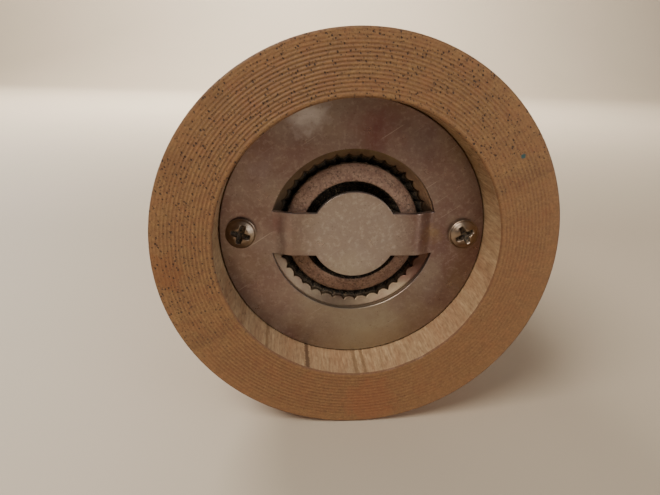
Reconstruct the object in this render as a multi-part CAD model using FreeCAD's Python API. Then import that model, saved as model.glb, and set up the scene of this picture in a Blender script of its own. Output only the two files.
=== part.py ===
import FreeCAD, Part
import math
import os

# A turned wooden hand burr grinder, standing on its foot. Millimetres.
# Z is the mill's axis and z = 0 is the foot's face. The strap under the burr lies along X.
# Each function below makes one sub-part, and every sub-part is written to its own file.

# Foot and the pocket under the burrs
foot_radius = 29.0
foot_height = 6.0
recess_radius = 20.4
shoulder_z = 8.0
edge_break = 0.25

# Body, hopper and the socket that the head turns in
body_top_z = 103.5
hopper_radius = 13.0
socket_radius = 15.0
socket_floor_z = 91.0

# Retaining plate with its strap
plate_radius = 20.2
plate_thickness = 1.0
window_radius = 12.75
strap_width = 6.6
strap_raise = 1.2
strap_ramp = 2.1
strap_disc_radius = 6.6
plate_face_z = shoulder_z - plate_thickness
strap_face_z = plate_face_z - strap_raise

# Fixed burr ring
ring_radius = 14.4
ring_height = 11.5
ring_top_z = shoulder_z + ring_height
mouth_radius = 11.4
mouth_z = 8.9
throat_radius = 9.4
throat_z = 13.0
funnel_radius = 13.0
fine_teeth = 40
fine_groove_radius = 0.32
flute_count = 10
flute_radius = 1.5
ring_pin_radius = 1.0
ring_pin_length = 5.0

# Turning burr
burr_gap = 0.62
burr_face_z = 7.6
burr_cup_radius = 8.0
burr_face_radius = 10.15
burr_edge_z = 8.6
burr_teeth_z = 9.3
burr_web_z = 12.4
burr_hub_radius = 5.2
burr_cone_z = 19.4
burr_top_z = 20.2
burr_grooves = 36
burr_groove_radius = 0.5
spiral_count = 6
spiral_radius = 1.5
spiral_slant = 35.0

# Square shaft
shaft_side = 5.0
square_hole_side = 5.15
shaft_foot_z = 8.0
shaft_square_top_z = 138.0
shaft_top_z = 153.0
shaft_journal_radius = 2.4
thread_radius = 2.45
clip_radius = 4.4
clip_thickness = 0.8
clip_groove_radius = 1.9
clip_slot = 2.6

# Bridge that holds the shaft upright, and the spring under it
sheet = 1.2
bridge_width = 7.0
bridge_half_span = 12.0
bridge_foot_end = 13.9
bridge_top_z = 36.6
bush_bore = 3.6
bush_radius = 4.7
bush_flange_radius = 5.6
bush_flange = 0.9
bush_rise = 0.9
washer_thickness = 0.8
washer_radius = 6.1
spring_wire = 0.9
spring_mean_radius = 4.9
spring_turns = 5.5

# Head, its driving plate and the ring it glides on
glide_inner_radius = 16.5
glide_outer_radius = 21.6
glide_thickness = 1.0
slack = 0.1
spigot_radius = 14.7
spigot_foot_z = 95.2
head_top_z = 142.0
head_bore_radius = 4.5
drive_plate_radius = 13.8
drive_plate_thickness = 1.5
cap_washer_radius = 9.0
cap_washer_hole = 2.8
cap_washer_thickness = 1.0

# Knob on the threaded end of the shaft
knob_ball_radius = 8.4
knob_collar_radius = 6.4
knob_collar_height = 2.6
knob_neck_radius = 4.9
knob_height = 16.5
knob_bore_radius = 2.6
knob_bore_depth = 12.6
liner_radius = 4.0
liner_depth = 3.6

# Screws
plate_screw_circle = 17.0
plate_screw_turns = (17.0, -30.0)
drive_screw_circle = 9.5
screw_head_radius = 2.3
screw_head_height = 1.5
screw_shank_radius = 1.45
screw_hole_radius = 1.7
screw_length = 10.0
cross_length = 2.9
cross_width = 0.7
cross_depth = 0.9

# Heights that follow from the sizes above
bridge_foot_z = ring_top_z
pocket_top_z = bridge_foot_z + sheet
crossbar_z = bridge_top_z - sheet
bush_foot_z = crossbar_z - bush_flange
seat_top_z = bush_foot_z - slack
seat_foot_z = seat_top_z - washer_thickness
spring_foot_z = burr_top_z + washer_thickness
glide_top_z = body_top_z + glide_thickness
head_foot_z = glide_top_z + slack
drive_plate_foot_z = spigot_foot_z - drive_plate_thickness
cap_washer_foot_z = head_top_z - cap_washer_thickness / 2
cap_washer_top_z = cap_washer_foot_z + cap_washer_thickness
knob_foot_z = cap_washer_top_z + slack
axis_line = FreeCAD.Vector(0, 0, 1)
centre = FreeCAD.Vector(0, 0, 0)


def profile_point(point):
    """A point of a turned outline, given as (radius, height)."""
    return FreeCAD.Vector(point[0], 0, point[1])


def straight(*points):
    """Straight edges through the outline points."""
    ends = [profile_point(p) for p in points]
    return [Part.LineSegment(a, b).toShape() for a, b in zip(ends, ends[1:])]


def smooth(*points):
    """One smooth edge through the outline points."""
    curve = Part.BSplineCurve()
    curve.interpolate([profile_point(p) for p in points])
    return [curve.toShape()]


def arc(start, middle, end):
    """A round edge through three outline points."""
    points = [profile_point(p) for p in (start, middle, end)]
    return [Part.Arc(*points).toShape()]


def turned(edges):
    """The solid made by turning a closed outline about the mill's axis."""
    wire = Part.Wire(Part.__sortEdges__(edges))
    return Part.Face(wire).revolve(centre, axis_line, 360)


def turned_straight(*points):
    """A turned solid whose outline is straight from point to point."""
    return turned(straight(*points, points[0]))


def rod(radius, low, high, x=0.0, y=0.0):
    """A round rod parallel to the mill's axis."""
    return Part.makeCylinder(radius, high - low, FreeCAD.Vector(x, y, low))


def tube(outer, inner, low, high):
    """A plain ring about the mill's axis."""
    return rod(outer, low, high).cut(rod(inner, low, high))


def block(x_range, y_range, z_range):
    """A box between two limits along each axis."""
    sizes = [high - low for low, high in (x_range, y_range, z_range)]
    return Part.makeBox(*sizes, FreeCAD.Vector(x_range[0], y_range[0], z_range[0]))


def square_bar(side, low, high):
    """A square bar on the mill's axis."""
    half = side / 2
    return block((-half, half), (-half, half), (low, high))


def turned_about_axis(shape, degrees):
    """A copy of the shape, turned about the mill's axis."""
    copy = shape.copy()
    copy.rotate(centre, axis_line, degrees)
    return copy


def spread(shape, count):
    """Evenly spaced copies round the mill's axis."""
    return [turned_about_axis(shape, 360 * i / count) for i in range(count)]


def groove_cutter(radius, start, end, overrun=1.0, slant=0.0):
    """A round cutter that lies along the line from one outline point to another."""
    low = profile_point(start)
    way = profile_point(end) - low
    length = way.Length + 2 * overrun
    way.normalize()
    middle = low + way * (length / 2 - overrun)
    cutter = Part.makeCylinder(radius, length, low - way * overrun, way)
    cutter.rotate(middle, FreeCAD.Vector(1, 0, 0), slant)
    return cutter


def body_outline():
    """The outside of the body: a square-edged foot, a waist, a full shoulder and a bead at the top."""
    foot = straight((recess_radius, 0), (foot_radius - edge_break, 0), (foot_radius, edge_break),
                    (foot_radius, foot_height))
    foot += arc((foot_radius, foot_height), (28.3, 8.0), (26.3, 9.0))
    foot += straight((26.3, 9.0), (25.4, 9.4), (25.4, 10.2), (26.2, 10.8))
    side = smooth((26.2, 10.8), (27.0, 15.0), (25.2, 26.0), (21.5, 42.0), (20.4, 54.0),
                  (21.6, 69.0), (23.6, 84.0), (23.8, 92.0), (23.0, 98.0))
    quirk = straight((23.0, 98.0), (21.9, 98.6), (21.9, 99.2))
    bead = arc((21.9, 99.2), (23.4, 101.3), (21.9, body_top_z))
    return foot + side + quirk + bead


def screw_holes(circle, radius, low, high):
    """The two screw holes on the X axis."""
    return [rod(radius, low, high, side * circle) for side in (1, -1)]


def make_body():
    """Turned wood, bored through: pocket, burr seat, hopper and head socket."""
    bore = straight((21.9, body_top_z), (socket_radius, body_top_z), (socket_radius, socket_floor_z),
                    (hopper_radius, socket_floor_z - 2.0), (hopper_radius, pocket_top_z),
                    (ring_radius, pocket_top_z), (ring_radius, shoulder_z),
                    (recess_radius, shoulder_z), (recess_radius, 0))
    wood = turned(body_outline() + bore)
    holes = screw_holes(plate_screw_circle, screw_shank_radius, shoulder_z, plate_face_z + screw_length)
    glide_seat = tube(glide_outer_radius, glide_inner_radius, body_top_z - 0.4, body_top_z + 1)
    return wood.cut(holes + ring_pin_rods() + [glide_seat])


def ring_pin_rods():
    """Two pins across the joint between the burr ring and the wood."""
    top = shoulder_z + ring_pin_length
    return [rod(ring_pin_radius, shoulder_z, top, 0, side * ring_radius) for side in (1, -1)]


def make_burr_ring():
    """The fixed burr: a chamfered mouth, fine teeth above it and coarse flutes at the top."""
    ring = turned_straight((window_radius, shoulder_z), (ring_radius, shoulder_z),
                           (ring_radius, ring_top_z), (funnel_radius, ring_top_z),
                           (throat_radius, throat_z), (mouth_radius, mouth_z))
    fine = groove_cutter(fine_groove_radius, (mouth_radius, mouth_z), (throat_radius, throat_z))
    flute = groove_cutter(flute_radius, (throat_radius, throat_z + 1), (funnel_radius, ring_top_z + 1))
    return ring.cut(spread(fine, fine_teeth) + spread(flute, flute_count) + ring_pin_rods())


def strap_side(side):
    """One arm of the strap, from the plate's face out to the raised run in the middle."""
    outer = window_radius + 0.6
    ramp_out = window_radius - 0.2
    ramp_in = ramp_out - strap_ramp
    low = [(outer, plate_face_z), (ramp_out, plate_face_z), (ramp_in, strap_face_z), (0, strap_face_z)]
    high = [(x, z + plate_thickness) for x, z in reversed(low)]
    corners = [FreeCAD.Vector(side * x, -strap_width / 2, z) for x, z in low + high]
    outline = Part.makePolygon(corners + corners[:1])
    return Part.Face(outline).extrude(FreeCAD.Vector(0, strap_width, 0))


def make_retaining_plate():
    """A flat ring with a raised strap and disc across its window."""
    plate = tube(plate_radius, window_radius, plate_face_z, shoulder_z)
    disc = rod(strap_disc_radius, strap_face_z, strap_face_z + plate_thickness)
    plate = plate.fuse([disc, strap_side(1), strap_side(-1)])
    holes = screw_holes(plate_screw_circle, screw_hole_radius, plate_face_z - 1, shoulder_z + 1)
    return plate.cut(holes).removeSplitter()


def cross_recess(x, face_z, degrees):
    """The cross-shaped driver recess in a screw head that faces down."""
    half = cross_length / 2
    arm = block((-half, half), (-cross_width / 2, cross_width / 2), (face_z - 1, face_z + cross_depth))
    cross = arm.fuse(turned_about_axis(arm, 90))
    cross = turned_about_axis(cross, degrees)
    cross.translate(FreeCAD.Vector(x, 0, 0))
    return cross


def pan_screw(x, seat_z, degrees):
    """A pan-head wood screw driven upwards, with its head under seat_z."""
    face_z = seat_z - screw_head_height
    dome = arc((0, face_z), (1.5, face_z + 0.22), (screw_head_radius, seat_z - 0.5))
    side = straight((screw_head_radius, seat_z - 0.5), (screw_head_radius, seat_z), (screw_shank_radius, seat_z),
                    (screw_shank_radius, seat_z + screw_length - 2.5), (0, seat_z + screw_length), (0, face_z))
    screw = turned(dome + side)
    screw.translate(FreeCAD.Vector(x, 0, 0))
    return screw.cut(cross_recess(x, face_z, degrees))


def make_plate_screws():
    """The two screws that hold the retaining plate."""
    left_turn, right_turn = plate_screw_turns
    left = pan_screw(-plate_screw_circle, plate_face_z, left_turn)
    right = pan_screw(plate_screw_circle, plate_face_z, right_turn)
    return Part.makeCompound([left, right])


def make_drive_screws():
    """The two screws that hold the driving plate under the head."""
    return Part.makeCompound([pan_screw(side * drive_screw_circle, drive_plate_foot_z, 20.0 * side)
                              for side in (1, -1)])


def make_male_burr():
    """The turning burr: a hollow cone with fine teeth below and crushing spirals above."""
    slope = (mouth_radius - throat_radius) / (throat_z - mouth_z)
    teeth_low = (mouth_radius - slope * (burr_teeth_z - mouth_z) - burr_gap, burr_teeth_z)
    teeth_high = (throat_radius - burr_gap, throat_z)
    cone = turned_straight((burr_cup_radius, burr_face_z), (burr_face_radius, burr_edge_z), teeth_low, teeth_high,
                           (burr_hub_radius, burr_cone_z), (burr_hub_radius, burr_top_z), (0, burr_top_z),
                           (0, burr_web_z), (4.8, burr_web_z), (7.3, burr_web_z - 1.4))
    fine = groove_cutter(burr_groove_radius, teeth_low, teeth_high, 0.8, 10.0)
    spiral = groove_cutter(spiral_radius, (teeth_high[0] + 0.4, throat_z + 1), (burr_hub_radius + 0.9, burr_top_z),
                           1.0, spiral_slant)
    bore = square_bar(square_hole_side, burr_web_z - 1, burr_top_z + 1)
    return cone.cut(spread(fine, burr_grooves) + spread(spiral, spiral_count) + [bore])


def make_drive_shaft():
    """A square bar with a round foot for the clip and a thread at the top."""
    foot = rod(shaft_journal_radius, shaft_foot_z, burr_web_z)
    groove = tube(shaft_journal_radius + 1, clip_groove_radius, burr_web_z - clip_thickness - 0.1, burr_web_z)
    bar = square_bar(shaft_side, burr_web_z, shaft_square_top_z)
    thread = rod(thread_radius, shaft_square_top_z, shaft_top_z)
    return foot.cut(groove).fuse([bar, thread])


def make_burr_clip():
    """The open spring clip that holds the burr on the shaft."""
    top = burr_web_z - 0.05
    low = top - clip_thickness
    clip = tube(clip_radius, clip_groove_radius + 0.05, low, top)
    slot = block((0, clip_radius + 1), (-clip_slot / 2, clip_slot / 2), (low - 1, top + 1))
    reliefs = [rod(0.75, low - 1, top + 1, -2.2, side * 1.5) for side in (1, -1)]
    return clip.cut([slot] + reliefs)


def make_spring_washer():
    """The washer between the burr and the spring."""
    washer = rod(washer_radius, burr_top_z, spring_foot_z)
    return washer.cut(square_bar(square_hole_side, burr_top_z - 1, spring_foot_z + 1))


def make_spring_seat():
    """The square-holed washer that turns with the shaft under the bridge."""
    washer = rod(washer_radius, seat_foot_z, seat_top_z)
    return washer.cut(square_bar(square_hole_side + slack, seat_foot_z - 1, seat_top_z + 1))


def make_spring():
    """The compression spring that pushes the turning burr down, open."""
    low = spring_foot_z + spring_wire / 2
    height = seat_foot_z - spring_foot_z - spring_wire
    helix = Part.makeLongHelix(height / spring_turns, height, spring_mean_radius)
    helix.translate(FreeCAD.Vector(0, 0, low))
    start = FreeCAD.Vector(spring_mean_radius, 0, low)
    section = Part.Wire(Part.makeCircle(spring_wire / 2, start, FreeCAD.Vector(0, 1, 0)))
    return Part.Wire(helix.Edges).makePipeShell([section], True, True)


def make_spring_bridge():
    """A bent strip that stands on the burr ring and guides the shaft above the spring."""
    inner = bridge_half_span - sheet
    half_outline = [(bridge_foot_end, bridge_foot_z), (inner, bridge_foot_z), (inner, crossbar_z)]
    back = [(bridge_half_span, bridge_top_z), (bridge_half_span, pocket_top_z), (bridge_foot_end, pocket_top_z)]
    right = half_outline
    left = [(-y, z) for y, z in reversed(half_outline)]
    over = [(-y, z) for y, z in reversed(back)] + back
    corners = [FreeCAD.Vector(-bridge_width / 2, y, z) for y, z in right + left + over]
    strip = Part.Face(Part.makePolygon(corners + corners[:1])).extrude(FreeCAD.Vector(bridge_width, 0, 0))
    boss = rod(bush_flange_radius + 1.2, crossbar_z, bridge_top_z)
    return strip.fuse(boss).cut(rod(bush_radius, crossbar_z - 1, bridge_top_z + 1)).removeSplitter()


def make_shaft_bush():
    """The flanged bush in the bridge that the shaft turns in."""
    return turned_straight((bush_bore, bush_foot_z), (bush_flange_radius, bush_foot_z),
                           (bush_flange_radius, crossbar_z), (bush_radius, crossbar_z),
                           (bush_radius, bridge_top_z + bush_rise), (bush_bore, bridge_top_z + bush_rise))


def make_glide_ring():
    """The metal ring on top of the body that the head turns on."""
    return tube(glide_outer_radius, glide_inner_radius, body_top_z - 0.4, glide_top_z)


def make_head():
    """Turned wood: a spigot that drops into the body, a domed top and a collar under the knob."""
    foot_bead_z = head_foot_z + 4.2
    side = straight((spigot_radius, head_foot_z), (21.9, head_foot_z))
    side += arc((21.9, head_foot_z), (23.4, head_foot_z + 2.1), (21.9, foot_bead_z))
    side += straight((21.9, foot_bead_z), (21.9, foot_bead_z + 0.6), (23.0, foot_bead_z + 1.2))
    side += smooth((23.0, foot_bead_z + 1.2), (24.2, 114.5), (22.9, 122.0), (18.3, 130.0), (13.0, 135.0))
    side += arc((13.0, 135.0), (11.1, 136.8), (10.6, 138.8))
    side += arc((10.6, 138.8), (11.9, 140.4), (10.4, head_top_z))
    inner = straight((10.4, head_top_z), (cap_washer_radius + slack, head_top_z),
                     (cap_washer_radius + slack, cap_washer_foot_z), (head_bore_radius, cap_washer_foot_z),
                     (head_bore_radius, spigot_foot_z), (spigot_radius, spigot_foot_z), (spigot_radius, head_foot_z))
    holes = screw_holes(drive_screw_circle, screw_shank_radius, spigot_foot_z, drive_plate_foot_z + screw_length)
    return turned(side + inner).cut(holes)


def make_drive_plate():
    """The plate whose square hole turns the shaft with the head."""
    plate = rod(drive_plate_radius, drive_plate_foot_z, spigot_foot_z)
    holes = screw_holes(drive_screw_circle, screw_hole_radius, drive_plate_foot_z - 1, spigot_foot_z + 1)
    square = square_bar(square_hole_side + slack, drive_plate_foot_z - 1, spigot_foot_z + 1)
    return plate.cut(holes + [square])


def make_cap_washer():
    """The washer let into the head's top, which the knob bears on."""
    return tube(cap_washer_radius, cap_washer_hole, cap_washer_foot_z, cap_washer_top_z)


def make_knob():
    """The round metal nut that sets the grind."""
    top = knob_foot_z + knob_height
    ball_centre = top - knob_ball_radius
    collar_top = knob_foot_z + knob_collar_height
    neck_top = ball_centre - math.sqrt(knob_ball_radius ** 2 - knob_neck_radius ** 2)
    liner_top = knob_foot_z + liner_depth
    bore_top = knob_foot_z + knob_bore_depth
    edges = straight((liner_radius, knob_foot_z), (knob_collar_radius - 0.5, knob_foot_z),
                     (knob_collar_radius, knob_foot_z + 0.5), (knob_collar_radius, collar_top - 0.6),
                     (knob_neck_radius, collar_top), (knob_neck_radius, neck_top))
    edges += arc((knob_neck_radius, neck_top), (knob_ball_radius, ball_centre), (0, top))
    edges += straight((0, top), (0, bore_top + 1.2), (knob_bore_radius, bore_top), (knob_bore_radius, liner_top),
                      (liner_radius, liner_top), (liner_radius, knob_foot_z))
    return turned(edges)


def make_knob_liner():
    """The plastic ring in the knob that grips the thread and holds the setting."""
    return tube(liner_radius, knob_bore_radius, knob_foot_z + 0.4, knob_foot_z + liner_depth)


def make_ring_pins():
    """The two pins that stop the burr ring from turning in the wood."""
    return Part.makeCompound(ring_pin_rods())


MAKERS = {
    "body": make_body,
    "burr_ring": make_burr_ring,
    "ring_pins": make_ring_pins,
    "retaining_plate": make_retaining_plate,
    "plate_screws": make_plate_screws,
    "spring_bridge": make_spring_bridge,
    "shaft_bush": make_shaft_bush,
    "glide_ring": make_glide_ring,
    "spring_seat": make_spring_seat,
    "spring": make_spring,
    "spring_washer": make_spring_washer,
    "male_burr": make_male_burr,
    "burr_clip": make_burr_clip,
    "drive_shaft": make_drive_shaft,
    "head": make_head,
    "drive_plate": make_drive_plate,
    "drive_screws": make_drive_screws,
    "cap_washer": make_cap_washer,
    "knob": make_knob,
    "knob_liner": make_knob_liner,
}

os.makedirs("parts", exist_ok=True)
for name, make in MAKERS.items():
    shape = make()
    solids = [solid for solid in shape.Solids if solid.isValid()]
    print(name, len(solids), "solids", round(shape.Volume, 1), "mm3")
    shape.exportStep("parts/" + name + ".step")
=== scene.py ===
from math import asin, atan2, cos, hypot, pi, radians, sin, sqrt

import bmesh
import bpy
from mathutils import Matrix, Vector, noise


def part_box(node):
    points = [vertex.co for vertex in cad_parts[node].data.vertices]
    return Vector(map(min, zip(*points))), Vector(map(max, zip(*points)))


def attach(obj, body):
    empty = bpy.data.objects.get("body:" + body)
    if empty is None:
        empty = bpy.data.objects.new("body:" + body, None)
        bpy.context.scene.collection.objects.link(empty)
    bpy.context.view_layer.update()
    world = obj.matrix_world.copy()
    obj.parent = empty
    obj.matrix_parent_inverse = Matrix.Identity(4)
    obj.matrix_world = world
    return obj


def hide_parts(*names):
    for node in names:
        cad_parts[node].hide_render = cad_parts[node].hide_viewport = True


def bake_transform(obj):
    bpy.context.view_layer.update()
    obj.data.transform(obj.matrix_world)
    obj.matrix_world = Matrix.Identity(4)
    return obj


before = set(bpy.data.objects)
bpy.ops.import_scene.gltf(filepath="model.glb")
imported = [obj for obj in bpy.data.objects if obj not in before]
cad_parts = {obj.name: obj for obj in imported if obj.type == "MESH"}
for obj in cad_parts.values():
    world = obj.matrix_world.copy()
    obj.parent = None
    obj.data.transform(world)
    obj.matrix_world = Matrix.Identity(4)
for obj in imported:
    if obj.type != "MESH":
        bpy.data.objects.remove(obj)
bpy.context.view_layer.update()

MM = 0.001
TAU = 2 * pi
WELD = 0.0008 * MM
SHEET_WELD = 0.002 * MM


def node_box(node):
    """A node's lowest and highest corners in millimetres."""
    low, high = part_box(node)
    return low / MM, high / MM


# The mill's main sizes, in millimetres. The boxes are read from the frame.
BODY_HIGH = node_box("body")[1]
HEAD_LOW, HEAD_HIGH = node_box("head")
PLATE_LOW, PLATE_HIGH = node_box("retaining_plate")
RING_HIGH = node_box("burr_ring")[1]
BURR_LOW, BURR_HIGH = node_box("male_burr")
SHAFT_LOW, SHAFT_HIGH = node_box("drive_shaft")
GLIDE_LOW, GLIDE_HIGH = node_box("glide_ring")
KNOB_LOW, KNOB_HIGH = node_box("knob")
CAP_LOW, CAP_HIGH = node_box("cap_washer")
DRIVE_LOW, DRIVE_HIGH = node_box("drive_plate")
SPRING_LOW, SPRING_HIGH = node_box("spring")

FOOT_R = BODY_HIGH.x
RECESS_R = FOOT_R - 8.6
SHOULDER_Z = PLATE_HIGH.z
PLATE_R = PLATE_HIGH.x
SHEET = 1.0
PLATE_FACE_Z = SHOULDER_Z - SHEET
STRAP_FACE_Z = PLATE_LOW.z
WINDOW_R = 12.75
STRAP_HALF = 3.3
DISC_R = 6.6
SCREW_CIRCLE = 17.0
SCREW_HOLE_R = 1.7
SCREW_LENGTH = 10.0
DRIVE_SCREW_X = 9.5
POCKET_TOP_Z = RING_HIGH.z + 1.2
HOPPER_R = 13.0
SOCKET_R = 15.0
SOCKET_FLOOR_Z = 91.0
BODY_TOP_Z = BODY_HIGH.z


# ---- mesh helpers

def link(obj):
    """Puts an object in the scene."""
    bpy.context.scene.collection.objects.link(obj)
    return obj


def link_mesh(name, points, faces):
    """A mesh object in the scene, from millimetre points."""
    mesh = bpy.data.meshes.new(name)
    mesh.from_pydata([(x * MM, y * MM, z * MM) for x, y, z in points], [], faces)
    obj = bpy.data.objects.new(name, mesh)
    link(obj)
    return obj


def make_object(name, points, faces, smooth_angle=35.0):
    """A mesh object that is smooth except along edges sharper than the angle."""
    obj = link_mesh(name, points, faces)
    tidy_mesh(obj.data, smooth_angle)
    return obj


def band_faces(rows, around, first=0, closed=False):
    """The faces between neighbouring rings of points. Closed also joins the last ring to the first."""
    faces = []
    for i in range(rows if closed else rows - 1):
        here = first + i * around
        above = first + (i + 1) % rows * around
        for j in range(around):
            k = (j + 1) % around
            faces.append((here + j, here + k, above + k, above + j))
    return faces


def ring_face(row, around, first=0):
    """One face across a ring of points."""
    return tuple(first + row * around + j for j in range(around))


def tidy_mesh(mesh, smooth_angle):
    """Merges doubles, turns normals outwards and marks the sharp edges."""
    work = bmesh.new()
    work.from_mesh(mesh)
    bmesh.ops.remove_doubles(work, verts=work.verts, dist=WELD)
    bmesh.ops.recalc_face_normals(work, faces=work.faces)
    for face in work.faces:
        face.smooth = True
    for edge in work.edges:
        if len(edge.link_faces) == 2:
            edge.smooth = edge.calc_face_angle(0.0) < radians(smooth_angle)
    work.to_mesh(mesh)
    work.free()
    mesh.update()


def rounded(outline, radius, steps=3):
    """The closed outline with each corner cut to a small round."""
    result = []
    count = len(outline)
    for i, corner in enumerate(outline):
        before = Vector(outline[i - 1]) - Vector(corner)
        after = Vector(outline[(i + 1) % count]) - Vector(corner)
        reach = min(radius, before.length * 0.45, after.length * 0.45)
        turn = before.normalized().angle(-after.normalized(), 0.0)
        if turn < radians(14) or reach < 1e-4:
            result.append(tuple(corner))
            continue
        start = Vector(corner) + before.normalized() * reach
        end = Vector(corner) + after.normalized() * reach
        for k in range(steps + 1):
            t = k / steps
            point = start * (1 - t) ** 2 + Vector(corner) * 2 * t * (1 - t) + end * t ** 2
            result.append((point.x, point.y))
    return result


def curve_points(points, steps=8):
    """Points along a smooth line through the given (radius, height) points."""
    result = []
    last = len(points) - 1
    for i in range(last):
        p0 = Vector(points[max(i - 1, 0)])
        p1 = Vector(points[i])
        p2 = Vector(points[i + 1])
        p3 = Vector(points[min(i + 2, last)])
        for k in range(steps):
            t = k / steps
            blend = 0.5 * ((2 * p1) + (p2 - p0) * t + (2 * p0 - 5 * p1 + 4 * p2 - p3) * t * t
                           + (3 * p1 - p0 - 3 * p2 + p3) * t ** 3)
            result.append((blend.x, blend.y))
    result.append(tuple(points[-1]))
    return result


def arc_points(start, middle, end, steps=10):
    """Points on the circle through three (radius, height) points."""
    ax, ay = start
    bx, by = middle
    cx, cy = end
    d = 2 * (ax * (by - cy) + bx * (cy - ay) + cx * (ay - by))
    a2 = ax ** 2 + ay ** 2
    b2 = bx ** 2 + by ** 2
    c2 = cx ** 2 + cy ** 2
    ux = (a2 * (by - cy) + b2 * (cy - ay) + c2 * (ay - by)) / d
    uy = (a2 * (cx - bx) + b2 * (ax - cx) + c2 * (bx - ax)) / d
    radius = hypot(ax - ux, ay - uy)
    first, via, last = (atan2(y - uy, x - ux) for x, y in (start, middle, end))
    sweep = (last - first) % TAU
    if (via - first) % TAU > sweep:
        sweep -= TAU
    angles = [first + sweep * k / steps for k in range(steps + 1)]
    return [(ux + radius * cos(a), uy + radius * sin(a)) for a in angles]


def lathe(name, outline, segments=192, wobble=None, smooth_angle=35.0, capped=False):
    """A turned solid from a (radius, height) outline; wobble(r, z, angle) may move a point.

    The outline closes on itself, or with capped=True its two ends are closed with small discs.
    """
    points = []
    for radius, height in outline:
        for j in range(segments):
            angle = TAU * j / segments
            r, z = wobble(radius, height, angle) if wobble else (radius, height)
            points.append((r * cos(angle), r * sin(angle), z))
    rows = len(outline)
    caps = [ring_face(0, segments), ring_face(rows - 1, segments)] if capped else []
    faces = caps + band_faces(rows, segments, closed=not capped)
    return make_object(name, points, faces, smooth_angle)


def sheet_piece(name, outlines, low, thickness, edge=0.06):
    """A flat sheet with holes and rounded edges, from closed (x, y) outlines in millimetres."""
    curve = bpy.data.curves.new(name, "CURVE")
    curve.dimensions = "2D"
    curve.fill_mode = "BOTH"
    for outline in outlines:
        spline = curve.splines.new("POLY")
        spline.points.add(len(outline) - 1)
        for point, (x, y) in zip(spline.points, outline):
            point.co = (x * MM, y * MM, 0, 1)
        spline.use_cyclic_u = True
    curve.extrude = (thickness / 2 - edge) * MM
    curve.bevel_depth = edge * MM
    curve.bevel_resolution = 2
    curve.offset = -edge * MM
    holder = bpy.data.objects.new(name + "_outline", curve)
    link(holder)
    mesh = bpy.data.meshes.new_from_object(holder)
    bpy.data.objects.remove(holder)
    mesh.transform(Matrix.Translation((0, 0, (low + thickness / 2) * MM)))
    mesh.name = name
    obj = bpy.data.objects.new(name, mesh)
    link(obj)
    work = bmesh.new()
    work.from_mesh(mesh)
    bmesh.ops.remove_doubles(work, verts=work.verts, dist=SHEET_WELD)
    bmesh.ops.recalc_face_normals(work, faces=work.faces)
    work.to_mesh(mesh)
    work.free()
    return obj


def circle_outline(radius, count, x=0.0, y=0.0):
    """A closed round outline."""
    angles = [TAU * k / count for k in range(count)]
    return [(x + radius * cos(a), y + radius * sin(a)) for a in angles]


def smoothstep(low, high, value):
    """0 below low, 1 above high, smooth between."""
    t = min(max((value - low) / (high - low), 0.0), 1.0)
    return t * t * (3 - 2 * t)


def paint(obj, name, value_at):
    """Stores a number at each point, worked out from its place in millimetres."""
    layer = obj.data.attributes.new(name, "FLOAT", "POINT")
    layer.data.foreach_set("value", [value_at(v.co / MM) for v in obj.data.vertices])


def stands_for(obj, node, body, slot, *materials):
    """Puts the piece in place of its CAD node, on its body, with its materials."""
    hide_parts(node)
    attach(obj, body)
    for material in materials:
        obj.data.materials.append(material)
    return obj


# ---- material helpers

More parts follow.
